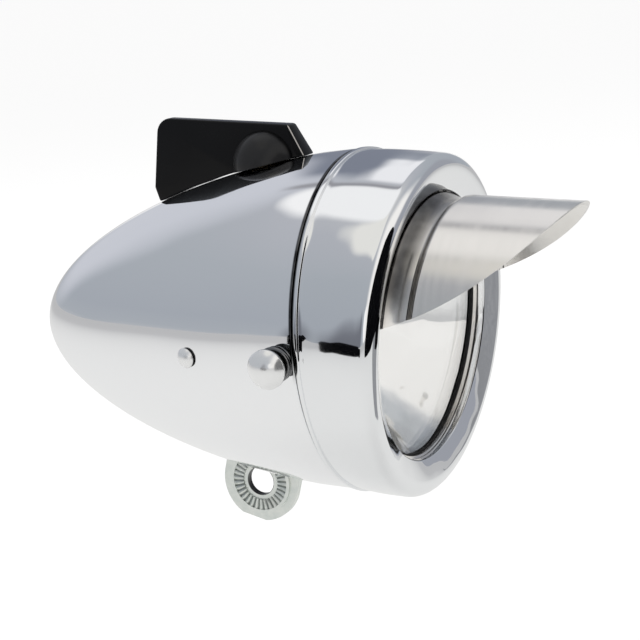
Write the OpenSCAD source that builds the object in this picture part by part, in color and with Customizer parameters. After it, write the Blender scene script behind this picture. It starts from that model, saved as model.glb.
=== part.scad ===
// Bicycle headlight with a bullet-shaped shell, a visor and a top switch.
// X points forward to the lens, Y to the left and Z up.
// The origin is the centre of the hole in the mounting tab.

/* [Rear shell] */
// Outer radius of the shell at its mouth
shell_r = 39.4; // [38.6:0.1:41]
// Length of the shell from its mouth to its nose
shell_len = 87; // [84:0.5:94]
// Sheet thickness of the shell and the front ring
sheet = 0.8; // [0.6:0.1:1]
// Fullness of the shell along its length
shell_along = 1.57; // [1.5:0.01:1.65]
// Fullness of the shell across its nose
shell_across = 1.85; // [1.8:0.01:1.95]

/* [Front ring] */
// Tilt of the front, nose down
front_tilt = 5.5; // [4:0.5:7]
// Distance from the mouth of the shell to the middle of the rim's rounding
rim_at = 15; // [14.5:0.1:17]
// Radius of the rim's rounding
rim_round = 3; // [2:0.2:3.4]
// Inward slope of the rim's face
face_slope = 22; // [15:1:26]
// Radius of the opening in front of the lens
opening_r = 30.9; // [29.5:0.1:31.5]
// Length of the lip behind the opening
lip_len = 1.7; // [1.4:0.1:2]
// Length of the sleeve that goes into the shell
sleeve_len = 9; // [8.6:0.2:10]
// Clearance between the sleeve and the shell
sleeve_gap = 0.35; // [0.3:0.05:0.5]

/* [Visor] */
// Outer radius of the hood at its root
visor_r = 30.4; // [29:0.1:31]
// Growth of the hood's radius from its root to its tip
visor_spread = 0.7; // [0:0.1:1.5]
// Sheet thickness of the hood
visor_t = 0.8; // [0.6:0.1:1]
// Distance that the hood stands out in front of the rim
visor_reach = 32; // [26:0.5:36]
// Distance that the hood's root stands in front of the rim
visor_root = 4.3; // [3.5:0.1:5.5]
// Depth of the neck between the hood's root and the opening
visor_neck = 1; // [0.6:0.1:1.4]
// Radius of the curved cut along the hood's edge
visor_cut_r = 74; // [70:1:80]
// Height of the lowest point of that curve above the front axis
visor_cut_low = 1.6; // [0:0.2:4]

/* [Lens and reflector] */
// Radius of the lens
lens_r = 36; // [35:0.1:36.2]
// Thickness of the lens
lens_t = 2; // [1.6:0.1:2.4]
// Focal length of the reflector
focus = 10.9; // [10:0.1:11.4]
// Depth of the reflector's dish
dish_depth = 22; // [20:0.5:22]
// Sheet thickness of the reflector
dish_t = 0.8; // [0.5:0.1:1]
// Outer radius of the bulb's cap
cap_r = 4.75; // [4.5:0.05:4.9]

/* [Mounting tab] */
// Diameter of the mounting hole, coarse clearance for a 6 mm bolt
hole_d = 7; // [6:0.1:7.4]
// Thickness of the tab
tab_t = 1.8; // [1.5:0.1:2.2]
// Outline radius of the tab
tab_r = 10; // [9.4:0.1:10.4]
// Distance from the hole to the tab's flat lower edge
tab_flat = 9.45; // [8.8:0.05:9.8]
// Tilt of the tab, which follows the shell's underside
tab_tilt = 16.5; // [14:0.5:19]
// Distance from the shell's mouth back to the hole
hole_back = 33; // [31:0.5:35]
// Distance from the shell's skin down to the hole
hole_below = 6.1; // [5.8:0.1:6.6]
// Number of teeth round the hole
teeth = 32; // [24:1:40]
// Height of the teeth and of the rim round them
tooth_h = 0.5; // [0.3:0.05:0.6]

/* [Latch] */
// Distance from the shell's mouth back to the button
latch_back = 4.7; // [4.4:0.1:5]
// Angle of the button and its rivet below the horizontal
latch_drop = 2; // [0:0.5:8]
// Distance from the shell's mouth back to the rivet
rivet_back = 28.8; // [26:0.2:31]
// Diameter of the button's domed head
head_d = 8.8; // [8:0.1:9.4]
// Height of the domed head
head_h = 3; // [2.4:0.1:3.4]
// Diameter of the button's stem
stem_d = 4.4; // [4:0.1:4.8]
// Travel of the button
latch_travel = 2; // [1.6:0.1:2.2]
// Thickness of the leaf spring
leaf_t = 0.6; // [0.4:0.05:0.8]

/* [Switch] */
// Distance from the shell's mouth back to the switch's axis
switch_back = 22.8; // [22:0.2:24.4]
// Radius of the knob's domed hub
hub_r = 8.3; // [7.6:0.1:8.8]
// Length of the wing behind the axis
wing_back = 29; // [26:0.1:31]
// Length of the wing in front of the axis
wing_front = 10.8; // [10:0.1:11.4]
// Height of the wing at its rear corner
wing_h = 17; // [15:0.1:19]
// Height of the wing at its front corner
wing_front_h = 7.6; // [7:0.1:9]
// Radius of the wing's rear corner
wing_round = 3.6; // [2.5:0.1:5]
// Thickness of the wing at its top
wing_top_t = 2.8; // [2.4:0.1:3.6]
// Thickness of the wing at its foot
wing_foot_t = 5.2; // [4.4:0.1:6.4]
// Diameter of the spindle
spindle_d = 5; // [4.4:0.1:5.4]

/* [Battery] */
// Diameter of one cell
cell_d = 10.2; // [9.8:0.1:10.4]
// Length of one cell
cell_len = 44.5; // [43:0.5:45]
// Wall of the carrier tube
carrier_wall = 1.2; // [1:0.1:1.6]

/* [Hidden] */
$fn = 72;

// Gap between pieces of different bodies, at the seam and elsewhere
body_gap = 0.3;
// Gap between stacked pieces of one body
stack_gap = 0.1;
// Radial clearance of a turning or sliding stem
run_fit = 0.06;
// Radial clearance of a fixed shank in its hole
shank_fit = 0.05;
// A cut starts and ends this far outside what it cuts
over = 1;

// Shell outline, with distances counted back from the mouth
inner_r = shell_r - sheet;
inner_len = shell_len - sheet;
shell_steps = 26;
function ogive(back, r, len) =
    r * pow(max(0, 1 - pow(max(0, back) / len, shell_along)), 1 / shell_across);
function shell_at(back) = ogive(back, shell_r, shell_len);
function bore_at(back) = ogive(back, inner_r, inner_len);
function slope_at(back) = atan(shell_at(back - 0.5) - shell_at(back + 0.5));
function reverse(list) = [for (i = [len(list) - 1:-1:0]) list[i]];
function spread(from, to, steps) = [for (i = [0:steps]) from + (to - from) * i / steps];
function ogive_points(r, len) = [
    for (i = [0:shell_steps])
        let (b = body_gap / 2 + (len - body_gap / 2) * sin(90 * i / shell_steps))
        [i == shell_steps ? 0 : ogive(b, r, len), -b]
];

// Front ring, as wide as the shell or as its lens needs, with distances counted forward
// along the tilted front axis
ring_step = 0.1;
lens_room = 0.5;
ring_r = max(shell_r, lens_r + lens_room + sheet + ring_step);
rim_u = rim_at / cos(front_tilt);
rim_r = ring_r - rim_round;
crest_u = rim_u + rim_round;
face_run = (rim_r - rim_round * sin(face_slope) - opening_r) * tan(face_slope);
face_u = rim_u + rim_round * cos(face_slope) - face_run;
lip_u = face_u - lip_len;
barrel_r = ring_r - ring_step;
barrel_bulge = 0.15;
bead_len = 1.3;
bead_h = 0.45;
ring_sides = 72;
bulge_steps = 6;
round_steps = 7;
sleeve_steps = 3;
function sleeve_at(back) = bore_at(back) - sleeve_gap;

// Pieces stacked behind the lip, with the visor's seat first
visor_fit = 0.3;
collar_r = opening_r - visor_fit;
seat_front = lip_u - stack_gap;
seat_back = seat_front - visor_t;
seat_in = collar_r - visor_t / 2;
seat_w = 3;
visor_step = 0.8;
gasket_t = 0.8;
gasket_show = 0.4;
gasket_w = 3.4;
gasket_in = seat_in - gasket_show;
gasket_front = seat_back - stack_gap;
lens_front = gasket_front - gasket_t - stack_gap;
lens_back = lens_front - lens_t;
flange_t = 0.8;
flange_front = lens_back - stack_gap;
flange_room = 1.9;
flange_r = barrel_r - sheet - flange_room;
dish_u = flange_front - dish_depth;
dish_r = 2 * sqrt(focus * dish_depth);
dish_steps = 16;
neck_r = cap_r + 0.9;
neck_wall = 0.8;
neck_len = 6;
neck_front = dish_u + neck_r * neck_r / (4 * focus);
neck_back = neck_front - neck_len;
wire_r = 1;
wire_ring_r = barrel_r - sheet - 0.2 - wire_r;
wire_break = 24;
function dish_at(r) = dish_u + r * r / (4 * focus);

// Bulb and its socket
socket_t = 0.5;
socket_r = neck_r - stack_gap;
socket_flange_t = 0.6;
insulator_front = neck_back - socket_flange_t - 2 * stack_gap;
insulator_t = 1.4;
insulator_back = insulator_front - insulator_t;
cap_front = neck_front + 0.6;
cap_back = insulator_front + 0.2;
tip_r = 1.6;
tip_back = insulator_back - 0.5;
glass_r = cap_r - 0.35;
glass_len = 9;

// Latch, with distances counted outwards from the shell's axis
collar_flange_r = head_d / 2 - 0.4;
collar_flange_t = 0.9;
collar_tube_r = stem_d / 2 + 0.8;
collar_low = shell_at(latch_back - collar_flange_r) + shank_fit;
collar_top = collar_low + collar_flange_t;
head_low = collar_top + latch_travel + body_gap;
catch_r = stem_d / 2 + 1;
catch_t = 1.3;
catch_top = bore_at(latch_back + catch_r) - body_gap;
catch_low = catch_top - catch_t;
tail_r = stem_d / 2 - 0.7;
tail_len = 1;
notch_r = catch_r + sleeve_gap;
leaf_top = catch_low - stack_gap;
tail_low = leaf_top - leaf_t - tail_len;
leaf_angle = 6;
leaf_end = 1.5;
leaf_bend = 20;
leaf_past = 4.5;
leaf_tail = rivet_back + leaf_past;
leaf_steps = 5;
rivet_r = 1.3;
rivet_head_r = 2.3;
rivet_head_h = 1.5;
rivet_foot_t = 0.7;

// Mounting tab, with distances counted from its hole
hole_down = shell_at(hole_back) + hole_below;
tab_top = hole_below + 2.1;
teeth_in = 4.6;
teeth_out = 7.2;
tooth_root = 0.3;
tab_rim = 0.8;
slot_gap = 0.3;
foot_t = 1.5;
foot_angle = 30;
foot_half = 10;
foot_steps = 6;

// Switch, with distances counted from the shell's skin along its normal
knob_gap = 0.3;
bush_wall = 1;
bush_r = spindle_d / 2 + bush_wall;
bush_lip = 1.1;
bush_flange_r = bush_r + bush_lip;
bush_flange_t = 0.8;
plate_r = 8.5;
plate_t = 1.2;
plate_top = -sheet - plate_r * plate_r / (2 * bore_at(switch_back)) - stack_gap;
nut_wall = 1.5;
nut_across = 2 * (bush_r + nut_wall);
nut_t = 2;
nut_top = plate_top - plate_t - stack_gap;
bush_low = nut_top - nut_t - 0.2;
stud_r = 0.9;
stud_ring = plate_r - stud_r - 0.5;
stud_low = bush_low - 0.2;
wiper_top = stud_low - body_gap;
wiper_t = 0.5;
wiper_w = 3;
clip_r = spindle_d / 2 + 1.7;
clip_t = 0.7;
clip_top = wiper_top - wiper_t - stack_gap;
spindle_low = clip_top - clip_t - 1.4;
spindle_up = 5;
washer_t = 0.4;
pocket_r = bush_flange_r + 0.6;
pocket_top = bush_flange_t + washer_t + 3 * stack_gap;
wing_steps = 8;
wing_lean = 18;
round_points = 6;

// Battery, with distances counted back from the shell's mouth
cell_ring = cell_d / sqrt(3) + 0.12;
cell_nub_r = 1.9;
contact_t = 0.5;
contact_r = 3.6;
contact_room = 1.7;
cartridge_r = cell_ring + cell_d / 2 + 0.9;
end_t = 2;
rib_r = 1.9;
terminal_r = 4;
terminal_t = 1;
terminal_front = -tip_back * cos(front_tilt) + tip_r * sin(front_tilt) + body_gap;
cartridge_front = terminal_front + terminal_t + stack_gap;
cells_front = cartridge_front + end_t + contact_room;
cells_back = cells_front + cell_len;
cartridge_back = cells_back + contact_room + end_t;
spring_room = 2;
carrier_in = cartridge_r + 0.35;
carrier_r = carrier_in + carrier_wall;
carrier_front = cartridge_front + 1;
carrier_back = cartridge_back + spring_room + carrier_wall;
fin_t = 1.6;
fin_gap = 0.15;
fin_front = sleeve_len + 1.5;
fin_short = 5;
fin_back = carrier_back - fin_short;
fin_steps = 12;

// Frames
module lamp() {
    translate([hole_back, 0, hole_down]) children();
}

module around_x() {
    rotate([0, 90, 0]) children();
}

module front_axis() {
    rotate([0, front_tilt, 0]) around_x() children();
}

module latch_axis(back) {
    translate([-back, 0, 0]) rotate([90 + latch_drop, 0, 0]) children();
}

module rivet_axis() {
    latch_axis(rivet_back) translate([0, 0, shell_at(rivet_back)])
        rotate([0, -slope_at(rivet_back), 0]) children();
}

module switch_axis() {
    translate([-switch_back, 0, shell_at(switch_back)])
        rotate([0, -slope_at(switch_back), 0]) children();
}

module tab_axis() {
    translate([-hole_back, 0, -hole_down]) rotate([0, tab_tilt, 0]) children();
}

// A disc or ring along the current Z axis, between two heights
module disc(low, high, r) {
    translate([0, 0, low]) cylinder(r = r, h = high - low);
}

module ring(low, high, r, hole) {
    difference() {
        disc(low, high, r);
        disc(low - over, high + over, hole);
    }
}

// Half the profile of a low dome on a round base, from its edge to its top
function dome_points(low, r, h) = let (ball = (r * r + h * h) / (2 * h)) [
    for (i = [0:round_points * 2])
        let (a = asin(r / ball) * (1 - i / (round_points * 2)))
        [i == round_points * 2 ? 0 : ball * sin(a), low + h - ball + ball * cos(a)]
];

// Rear shell
module rear_shell() {
    color("lightgray") lamp() difference() {
        around_x() rotate_extrude($fn = 96)
            polygon(concat(ogive_points(shell_r, shell_len), reverse(ogive_points(inner_r, inner_len))));
        latch_axis(latch_back) disc(0, shell_r + over, collar_tube_r + shank_fit);
        rivet_axis() disc(-sheet - over, over, rivet_r + shank_fit);
        switch_axis() disc(-sheet - over, over, bush_r + shank_fit);
        tab_axis() translate([-tab_r - slot_gap, -tab_t / 2 - tooth_h - slot_gap, 0])
            cube([2 * (tab_r + slot_gap), tab_t + 2 * (tooth_h + slot_gap), 2 * tab_top]);
    }
}

// Mounting tab with a toothed ring round its hole and a foot inside the shell
module tab_outline() {
    intersection() {
        union() {
            circle(r = tab_r);
            translate([-tab_r, 0]) square([2 * tab_r, tab_top]);
        }
        translate([-2 * tab_r, -tab_flat]) square([4 * tab_r, tab_flat + tab_top]);
    }
}

function tooth_point(k, r, h) = [r * cos(180 * k / teeth), r * sin(180 * k / teeth), h];

module tooth_ring() {
    n = 2 * teeth;
    points = concat(
        [for (k = [0:n - 1]) tooth_point(k, teeth_in, k % 2 == 0 ? tooth_h : 0.05)],
        [for (k = [0:n - 1]) tooth_point(k, teeth_out + tab_rim / 4, k % 2 == 0 ? tooth_h : 0.05)],
        [for (k = [0:n - 1]) tooth_point(k, teeth_out + tab_rim / 4, -tooth_root)],
        [for (k = [0:n - 1]) tooth_point(k, teeth_in, -tooth_root)]
    );
    faces = [
        for (band = [0:3]) for (k = [0:n - 1])
            let (a = band * n + k, b = band * n + (k + 1) % n)
            let (c = (band + 1) % 4 * n + (k + 1) % n, d = (band + 1) % 4 * n + k)
            for (f = [[a, b, c], [a, c, d]]) f
    ];
    polyhedron(points, faces);
}

module tab_foot() {
    around_x() rotate(-2) rotate_extrude(angle = foot_angle) polygon(concat(
        [for (b = spread(hole_back - foot_half, hole_back + foot_half, foot_steps))
            [bore_at(b) - stack_gap, -b]],
        [for (b = spread(hole_back + foot_half, hole_back - foot_half, foot_steps))
            [bore_at(b) - stack_gap - foot_t, -b]]
    ));
}

module mount_tab() {
    color("gainsboro") lamp() difference() {
        union() {
            tab_axis() rotate([90, 0, 0]) {
                linear_extrude(tab_t, center = true) tab_outline();
                ring(-tab_t / 2 - tooth_h, tab_t / 2 + tooth_h, teeth_out + tab_rim, teeth_out);
                for (side = [0, 180]) rotate([side, 0, 0]) translate([0, 0, tab_t / 2]) tooth_ring();
            }
            tab_foot();
        }
        tab_axis() rotate([90, 0, 0]) disc(-tab_r, tab_r, hole_d / 2);
    }
}

// Latch that holds the front ring
module latch_collar() {
    color("silver") lamp() latch_axis(latch_back) difference() {
        union() {
            disc(collar_low, collar_top, collar_flange_r);
            disc(catch_top + body_gap, collar_top, collar_tube_r);
        }
        disc(0, collar_top + over, stem_d / 2 + run_fit);
    }
}

module latch_button() {
    color("silver") lamp() latch_axis(latch_back) rotate_extrude() polygon(concat(
        [[0, tail_low], [tail_r, tail_low], [tail_r, catch_top], [stem_d / 2, catch_top],
            [stem_d / 2, head_low], [head_d / 2, head_low]],
        dome_points(head_low + head_h / 4, head_d / 2, head_h * 3 / 4)
    ));
}

module latch_catch() {
    color("gray") lamp() latch_axis(latch_back) ring(catch_low, catch_top - stack_gap, catch_r, tail_r + shank_fit);
}

module latch_spring() {
    follow = spread(leaf_bend, leaf_tail, leaf_steps);
    top = concat(
        [[leaf_top, -leaf_end], [leaf_top, -latch_back - catch_r]],
        [for (b = follow) [bore_at(b) - stack_gap, -b]]
    );
    color("goldenrod") lamp() difference() {
        around_x() rotate(latch_drop - 90 - leaf_angle) rotate_extrude(angle = 2 * leaf_angle)
            polygon(concat(top, [for (p = reverse(top)) p - [leaf_t, 0]]));
        latch_axis(latch_back) disc(0, shell_r, tail_r + shank_fit);
        rivet_axis() disc(-sheet - leaf_t - 3 * over, over, rivet_r + shank_fit);
    }
}

module latch_rivet() {
    under = -sheet - leaf_t - 3 * stack_gap;
    color("silver") lamp() rivet_axis() rotate_extrude() polygon(concat(
        [[0, under - rivet_foot_t], [rivet_head_r, under - rivet_foot_t], [rivet_head_r, under],
            [rivet_r, under], [rivet_r, stack_gap]],
        dome_points(stack_gap, rivet_head_r, rivet_head_h)
    ));
}

// Switch
function skin_point(back) = let (
    s = slope_at(switch_back),
    dx = switch_back - back,
    dz = shell_at(back) - shell_at(switch_back)
) [dx * cos(s) + dz * sin(s), -dx * sin(s) + dz * cos(s)];

function unit(v) = v / norm(v);
function corner(p, before, after, r) = let (
    a = unit(before - p),
    b = unit(after - p),
    half = acos(a * b) / 2,
    mid = p + unit(a + b) * r / sin(half),
    from = p + a * r / tan(half) - mid,
    turn = atan2(from[0] * (p + b * r / tan(half) - mid)[1] - from[1] * (p + b * r / tan(half) - mid)[0],
        from * (p + b * r / tan(half) - mid))
) [for (t = spread(0, turn, round_points))
    mid + [from[0] * cos(t) - from[1] * sin(t), from[0] * sin(t) + from[1] * cos(t)]];

module wing_outline() {
    foot = [for (b = spread(switch_back + wing_back, switch_back - wing_front, wing_steps))
        skin_point(b) + [0, knob_gap]];
    heel = foot[0] + [-0.5, 3.6];
    peak = heel + (wing_h - heel[1]) * [tan(wing_lean), 1];
    brow = [foot[wing_steps][0] - 2.4, wing_front_h];
    polygon(concat(
        foot,
        corner(brow, foot[wing_steps], peak, 1),
        corner(peak, brow, heel, wing_round),
        [heel]
    ));
}

module wing_section() {
    low = -6;
    grow = (wing_foot_t - wing_top_t) / 2 / wing_h;
    foot_half_t = wing_foot_t / 2 - grow * low;
    top_half_t = wing_foot_t / 2 - grow * (wing_h + over);
    polygon([[-foot_half_t, low], [foot_half_t, low], [top_half_t, wing_h + over],
        [-top_half_t, wing_h + over]]);
}

module switch_knob() {
    color("#1b1b1d") lamp() switch_axis() difference() {
        union() {
            intersection() {
                rotate([90, 0, 0]) linear_extrude(2 * wing_foot_t, center = true) wing_outline();
                rotate([90, 0, 90]) linear_extrude(3 * wing_back, center = true) wing_section();
            }
            intersection() {
                sphere(r = hub_r);
                disc(knob_gap, hub_r + over, hub_r + over);
            }
        }
        disc(-over, pocket_top, pocket_r);
        disc(-over, spindle_up + stack_gap, spindle_d / 2 + shank_fit);
    }
}

module switch_spindle() {
    color("gold") lamp() switch_axis() disc(spindle_low, spindle_up, spindle_d / 2);
}

module wave_washer() {
    color("silver") lamp() switch_axis()
        ring(pocket_top - washer_t - stack_gap, pocket_top - stack_gap, bush_flange_r - 0.6, spindle_d / 2 + run_fit);
}

module switch_bush() {
    color("gold") lamp() switch_axis() difference() {
        union() {
            disc(shank_fit, bush_flange_t, bush_flange_r);
            disc(bush_low, bush_flange_t, bush_r);
        }
        disc(bush_low - over, bush_flange_t + over, spindle_d / 2 + run_fit);
    }
}

module switch_nut() {
    color("silver") lamp() switch_axis() difference() {
        translate([0, 0, nut_top - nut_t]) cylinder(d = nut_across / cos(30), h = nut_t, $fn = 6);
        disc(nut_top - nut_t - over, nut_top + over, bush_r + shank_fit);
    }
}

module switch_plate() {
    color("saddlebrown") lamp() switch_axis() difference() {
        ring(plate_top - plate_t, plate_top, plate_r, bush_r + shank_fit);
        for (a = [90, 135]) rotate(a) translate([stud_ring, 0, 0])
            disc(plate_top - plate_t - over, plate_top + over, stud_r + shank_fit);
    }
}

module switch_contacts() {
    color("gold") lamp() switch_axis() for (a = [90, 135]) rotate(a) translate([stud_ring, 0, 0])
        disc(stud_low, plate_top - stack_gap, stud_r);
}

module switch_wiper() {
    color("goldenrod") lamp() switch_axis() difference() {
        union() {
            disc(wiper_top - wiper_t, wiper_top, spindle_d / 2 + 1.2);
            translate([-wiper_w / 2, 0, wiper_top - wiper_t])
                cube([wiper_w, stud_ring + stud_r, wiper_t]);
        }
        disc(wiper_top - wiper_t - over, wiper_top + over, spindle_d / 2 + shank_fit);
    }
}

module spindle_clip() {
    color("gray") lamp() switch_axis() difference() {
        ring(clip_top - clip_t, clip_top, clip_r, spindle_d / 2 + shank_fit);
        translate([0, -spindle_d / 2 + 0.4, clip_top - clip_t - over])
            cube([clip_r + over, spindle_d - 0.8, clip_t + 2 * over]);
    }
}

// Battery and its carrier
module battery_carrier() {
    color("#3a3d42") lamp() {
        around_x() difference() {
            disc(-carrier_back, -carrier_front, carrier_r);
            disc(-carrier_back + carrier_wall, -carrier_front + over, carrier_in);
        }
        for (a = [45:90:315]) rotate([a, 0, 0]) rotate([90, 0, 0])
            linear_extrude(fin_t, center = true) polygon(concat(
                [[-fin_front, carrier_r - 0.4], [-fin_back, carrier_r - 0.4]],
                [for (b = spread(fin_back, fin_front, fin_steps)) [-b, bore_at(b) - fin_gap]]
            ));
    }
}

module at_cells() {
    for (a = [90:120:330]) rotate([a, 0, 0]) translate([0, cell_ring, 0]) children();
}

module cartridge_frame() {
    color("#2a2a2c") lamp() {
        around_x() disc(-cartridge_front - end_t, -cartridge_front, cartridge_r);
        around_x() disc(-cartridge_back, -cartridge_back + end_t, cartridge_r);
        for (a = [30:120:270]) rotate([a, 0, 0]) translate([0, cartridge_r - rib_r - 0.2, 0])
            around_x() disc(-cartridge_back + end_t / 2, -cartridge_front - end_t / 2, rib_r);
    }
}

module battery_cells() {
    color("steelblue") lamp() at_cells() around_x() {
        disc(-cells_back, -cells_front, cell_d / 2);
        disc(-cells_front, -cells_front + contact_room - contact_t - 2 * stack_gap, cell_nub_r);
    }
}

module cell_contacts() {
    front = cartridge_front + end_t + stack_gap;
    back = cartridge_back - end_t - stack_gap;
    color("silver") lamp() at_cells() around_x() {
        disc(-front - contact_t, -front, contact_r);
        translate([0, 0, -back]) cylinder(r1 = contact_r, r2 = contact_r / 2,
            h = contact_room - 2 * stack_gap);
    }
}

module front_terminal() {
    color("gold") lamp() around_x() disc(-cartridge_front + stack_gap, -terminal_front, terminal_r);
}

module rear_spring() {
    color("silver") lamp() around_x() translate([0, 0, -cartridge_back - spring_room + stack_gap])
        cylinder(r1 = terminal_r * 2, r2 = terminal_r, h = spring_room - 2 * stack_gap);
}

// Front ring: one sheet profile swept round, upright at the seam and tilted at the rim
function arc(mid, r, from, to, steps) =
    [for (a = spread(from, to, steps)) mid + r * [cos(a), sin(a)]];

function barrel_points(inset) = [
    for (i = [1:bulge_steps - 1]) let (t = i / bulge_steps)
        [bead_len + (rim_u - bead_len) * t,
            barrel_r + ring_step * t + barrel_bulge * sin(180 * t) - inset]
];

bezel_outer = concat(
    [[body_gap / 2, sleeve_at(0)], [body_gap / 2, barrel_r + bead_h / 2],
        [body_gap / 2 + bead_h / 2, barrel_r + bead_h], [bead_len - bead_h, barrel_r + bead_h],
        [bead_len, barrel_r]],
    barrel_points(0),
    arc([rim_u, rim_r], rim_round, 90, -face_slope, round_steps),
    [[face_u, opening_r], [lip_u, opening_r]]
);
bezel_inner = concat(
    [[lip_u, opening_r + sheet], [face_u - sheet, opening_r + sheet]],
    arc([rim_u, rim_r], rim_round - sheet, -face_slope, 90, round_steps),
    reverse(barrel_points(sheet)),
    [[bead_len, barrel_r - sheet], [bead_len, sleeve_at(0) - sheet]],
    [for (b = spread(0, sleeve_len, sleeve_steps)) [-b, sleeve_at(b) - sheet]]
);
bezel_sleeve = [for (b = spread(sleeve_len, 0, sleeve_steps)) [-b, sleeve_at(b)]];

function bend(p, phi) = let (tilt = front_tilt * min(1, max(0, p[0] / lip_u)))
    (p[0] > 0 ? p[0] * [cos(front_tilt), 0, -sin(front_tilt)] : [p[0], 0, 0])
    + p[1] * [sin(tilt) * cos(phi), sin(phi), cos(tilt) * cos(phi)];

module bezel_sweep(profile) {
    n = len(profile);
    points = [for (k = [0:ring_sides - 1]) for (p = profile) bend(p, 360 * k / ring_sides)];
    faces = [
        for (k = [0:ring_sides - 1]) for (j = [0:n - 1])
            let (m = (k + 1) % ring_sides, i = (j + 1) % n)
            for (f = [[k * n + j, k * n + i, m * n + i], [k * n + j, m * n + i, m * n + j]]) f
    ];
    polyhedron(points, faces);
}

module bezel_ring() {
    color("lightsteelblue") lamp() difference() {
        bezel_sweep(concat(bezel_outer, bezel_inner, bezel_sleeve));
        latch_axis(latch_back) {
            disc(shell_r * 3 / 4, shell_r - sheet / 4, notch_r);
            translate([-sleeve_len, -notch_r, shell_r * 3 / 4])
                cube([sleeve_len, 2 * notch_r, shell_r / 4 - sheet / 4]);
        }
    }
}

// Visor: a cut hood whose neck passes through the opening to a seat behind the lip
module visor() {
    root_u = crest_u + visor_root;
    tip_u = crest_u + visor_reach;
    tip_r = visor_r + visor_spread;
    hollow_r = visor_r - visor_neck;
    cut_w = visor_cut_low + visor_cut_r;
    cut_u = tip_u - sqrt(visor_cut_r * visor_cut_r - (cut_w - tip_r) * (cut_w - tip_r));
    outer = concat(
        [[collar_r, (seat_front + seat_back) / 2]],
        [for (s = spread(0, 1, round_steps))
            [hollow_r + (collar_r - hollow_r) * (1 - s) * (1 - s),
                face_u + (root_u - visor_step - face_u) * s]],
        [[visor_r, root_u], [tip_r, tip_u]]
    );
    color("silver") lamp() union() {
        intersection() {
            front_axis() rotate_extrude($fn = 96)
                polygon(concat(outer, [for (p = reverse(outer)) p - [visor_t, 0]]));
            rotate([0, front_tilt, 0]) translate([cut_u, 0, cut_w]) rotate([90, 0, 0])
                cylinder(r = visor_cut_r, h = 4 * visor_r, center = true, $fn = 120);
        }
        front_axis() ring(seat_back, seat_front, collar_r + seat_w, seat_in);
    }
}

// Lens, reflector and what holds them
module lens_gasket() {
    color("#202020") lamp() front_axis() ring(gasket_front - gasket_t, gasket_front, gasket_in + gasket_w, gasket_in);
}

module lens() {
    color("lightcyan", 0.4) lamp() front_axis() disc(lens_back, lens_front, lens_r);
}

module reflector() {
    radii = spread(neck_r, dish_r, dish_steps);
    dish = [for (r = radii) [r, dish_at(r)]];
    back = [for (i = [dish_steps - 1:-1:1]) let (r = radii[i], a = atan(r / (2 * focus)))
        [r + dish_t * sin(a), dish_at(r) - dish_t * cos(a)]];
    color("whitesmoke") lamp() front_axis() rotate_extrude() polygon(concat(
        [[neck_r, neck_back]], dish,
        [[flange_r, flange_front], [flange_r, flange_front - flange_t]],
        [[dish_r + dish_t, flange_front - flange_t]],
        back,
        [[neck_r + neck_wall, neck_front - dish_t], [neck_r + neck_wall, neck_back]]
    ));
}

module retaining_ring() {
    color("gray") lamp() front_axis() translate([0, 0, flange_front - flange_t - stack_gap - wire_r])
        rotate(wire_break / 2) rotate_extrude(angle = 360 - wire_break)
        translate([wire_ring_r, 0]) circle(r = wire_r, $fn = 24);
}

module bulb_socket() {
    color("gold") lamp() front_axis() {
        ring(neck_back - socket_flange_t - stack_gap, neck_front - 0.4, socket_r, socket_r - socket_t);
        ring(neck_back - socket_flange_t - stack_gap, neck_back - stack_gap,
            neck_r + neck_wall, socket_r - socket_t);
    }
}

module socket_insulator() {
    color("saddlebrown") lamp() front_axis()
        ring(insulator_back, insulator_front, neck_r + neck_wall, tip_r + 0.6);
}

module bulb_cap() {
    color("silver") lamp() front_axis() {
        disc(cap_back, cap_front, cap_r);
        disc(tip_back, cap_back, tip_r);
    }
}

module bulb_glass() {
    color("lightyellow", 0.6) lamp() front_axis() {
        disc(cap_front + stack_gap, cap_front + glass_len - glass_r, glass_r);
        translate([0, 0, cap_front + glass_len - glass_r]) difference() {
            sphere(r = glass_r);
            disc(-2 * glass_r, -stack_gap, 2 * glass_r);
        }
    }
}

rear_shell();
mount_tab();
latch_collar();
latch_rivet();
latch_spring();
latch_button();
latch_catch();
switch_knob();
switch_spindle();
switch_wiper();
spindle_clip();
wave_washer();
switch_bush();
switch_nut();
switch_plate();
switch_contacts();
battery_carrier();
cartridge_frame();
battery_cells();
cell_contacts();
front_terminal();
rear_spring();
bezel_ring();
visor();
lens_gasket();
lens();
reflector();
retaining_ring();
bulb_socket();
socket_insulator();
bulb_cap();
bulb_glass();
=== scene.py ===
import math

import bmesh
import bpy
from mathutils import Matrix, Vector


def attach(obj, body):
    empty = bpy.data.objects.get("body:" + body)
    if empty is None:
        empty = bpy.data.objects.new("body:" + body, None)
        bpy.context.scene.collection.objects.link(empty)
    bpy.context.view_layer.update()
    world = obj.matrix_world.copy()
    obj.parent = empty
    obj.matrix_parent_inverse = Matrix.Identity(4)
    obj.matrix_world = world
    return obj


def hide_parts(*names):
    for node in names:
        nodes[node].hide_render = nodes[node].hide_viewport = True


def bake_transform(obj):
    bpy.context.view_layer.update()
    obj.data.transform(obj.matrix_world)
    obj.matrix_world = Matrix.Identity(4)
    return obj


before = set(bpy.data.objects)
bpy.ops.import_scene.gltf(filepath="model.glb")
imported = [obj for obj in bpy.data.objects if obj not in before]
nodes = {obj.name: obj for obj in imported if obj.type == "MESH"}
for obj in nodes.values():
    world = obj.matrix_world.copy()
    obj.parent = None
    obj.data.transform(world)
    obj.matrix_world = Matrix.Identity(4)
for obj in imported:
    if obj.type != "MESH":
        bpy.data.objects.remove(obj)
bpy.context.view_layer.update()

MM = 0.001
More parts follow.
